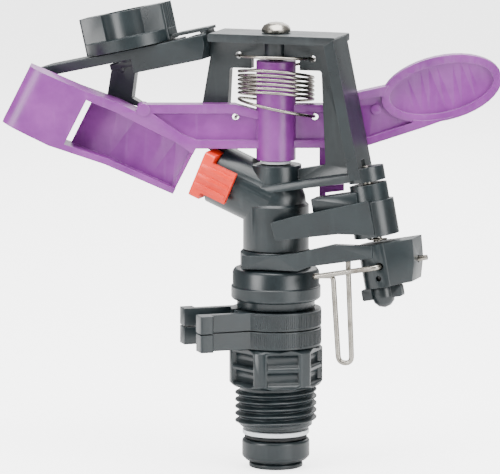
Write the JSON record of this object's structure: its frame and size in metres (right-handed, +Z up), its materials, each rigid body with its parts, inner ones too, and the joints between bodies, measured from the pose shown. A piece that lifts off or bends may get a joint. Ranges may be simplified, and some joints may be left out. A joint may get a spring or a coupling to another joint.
{
  "type": "impact sprinkler",
  "caption": "Part-circle impact sprinkler: black plastic bridge body, purple swinging impact arm, orange nozzle, threaded inlet, stop collars and trip lever.",
  "frame": {"origin": "on the riser axis, at the lower face of the inlet hex", "axes": "+Z up the riser axis about which the body turns, the nozzle throws toward -X, the bridge lies in the XZ plane"},
  "size_m": [0.124, 0.0419, 0.1189],
  "materials": {
    "black_plastic": "fine moulded satin",
    "purple_plastic": "fine moulded satin",
    "orange_plastic": "smooth moulded",
    "white_plastic": "smooth moulded",
    "black_rubber": "matte",
    "steel": "drawn stainless wire and rod"
  },
  "bodies": {
    "inlet": {"inlet_nipple": "black_plastic", "slip_washer": "white_plastic", "dust_sleeve": "black_plastic", "bearing_spring": "steel"},
    "lower_stop": {"stop_collar_lower": "black_plastic"},
    "upper_stop": {"stop_collar_upper": "black_plastic"},
    "turret": {"bridge_body": "black_plastic", "stem_tube": "black_plastic", "retaining_cap": "black_plastic", "rubber_washer": "black_rubber", "friction_washer": "black_rubber", "nozzle": "orange_plastic", "nozzle_seal": "black_rubber", "arm_pin": "steel", "arm_washer": "white_plastic", "deflector_bracket": "black_plastic", "hinge_pin": "steel", "arm_spring": "steel"},
    "arm": {"impact_arm": "purple_plastic"},
    "nut": {"thumb_nut": "black_plastic"},
    "blade": {"deflector_blade": "black_plastic"},
    "trip": {"trip_lever": "black_plastic", "trip_wire": "steel", "toggle_pin": "steel"},
    "hammer": {"trip_hammer": "black_plastic", "toggle_spring": "steel"},
    "screw": {"wing_screw": "black_plastic"}
  },
  "joints": [
    {"name": "body_turn", "type": "hinge", "parent": "inlet", "child": "turret", "pos_m": [0, 0, 0.0198], "axis": [0, 0, 1], "range_deg": [-84, 180]},
    {"name": "lower_stop_turn", "type": "hinge", "parent": "inlet", "child": "lower_stop", "pos_m": [0, 0, 0.01275], "axis": [0, 0, 1], "range_deg": [-180, 86]},
    {"name": "upper_stop_turn", "type": "hinge", "parent": "inlet", "child": "upper_stop", "pos_m": [0, 0, 0.01755], "axis": [0, 0, 1], "range_deg": [-180, 86]},
    {"name": "arm_swing", "type": "hinge", "parent": "turret", "child": "arm", "pos_m": [0, 0, 0.0707], "axis": [0, 0, 1], "range_deg": [0, 90], "stiffness_Nm_per_rad": 0.01, "springref_deg": -28.65, "deforming": ["arm_spring"]},
    {"name": "nut_turn", "type": "hinge", "parent": "turret", "child": "nut", "pos_m": [-0.03834, 0, 0.08438], "axis": [-0.2215, 0, 0.9751], "range_deg": [0, 360]},
    {"name": "blade_slide", "type": "slide", "parent": "turret", "child": "blade", "axis": [0.2215, 0, -0.9751], "range_m": [0, 0.003]},
    {"name": "trip_lever_turn", "type": "hinge", "parent": "turret", "child": "trip", "pos_m": [0, 0, 0.0328], "axis": [0, 0, 1], "range_deg": [0, 12]},
    {"name": "hammer_swing", "type": "hinge", "parent": "turret", "child": "hammer", "pos_m": [0.0258, -0.004, 0.053], "axis": [-0.1805, 0, 0.9836], "range_deg": [0, 19.2]},
    {"name": "wing_screw_turn", "type": "hinge", "parent": "trip", "child": "screw", "pos_m": [0.02482, -0.004, 0.05282], "axis": [-0.1805, 0, 0.9836], "continuous": true}
  ],
  "couplings": [
    {"joint": "nut_turn", "follows": "blade_slide", "rad_per_m": 2094.4},
    {"joint": "hammer_swing", "follows": "trip_lever_turn", "ratio": 1.58}
  ]
}
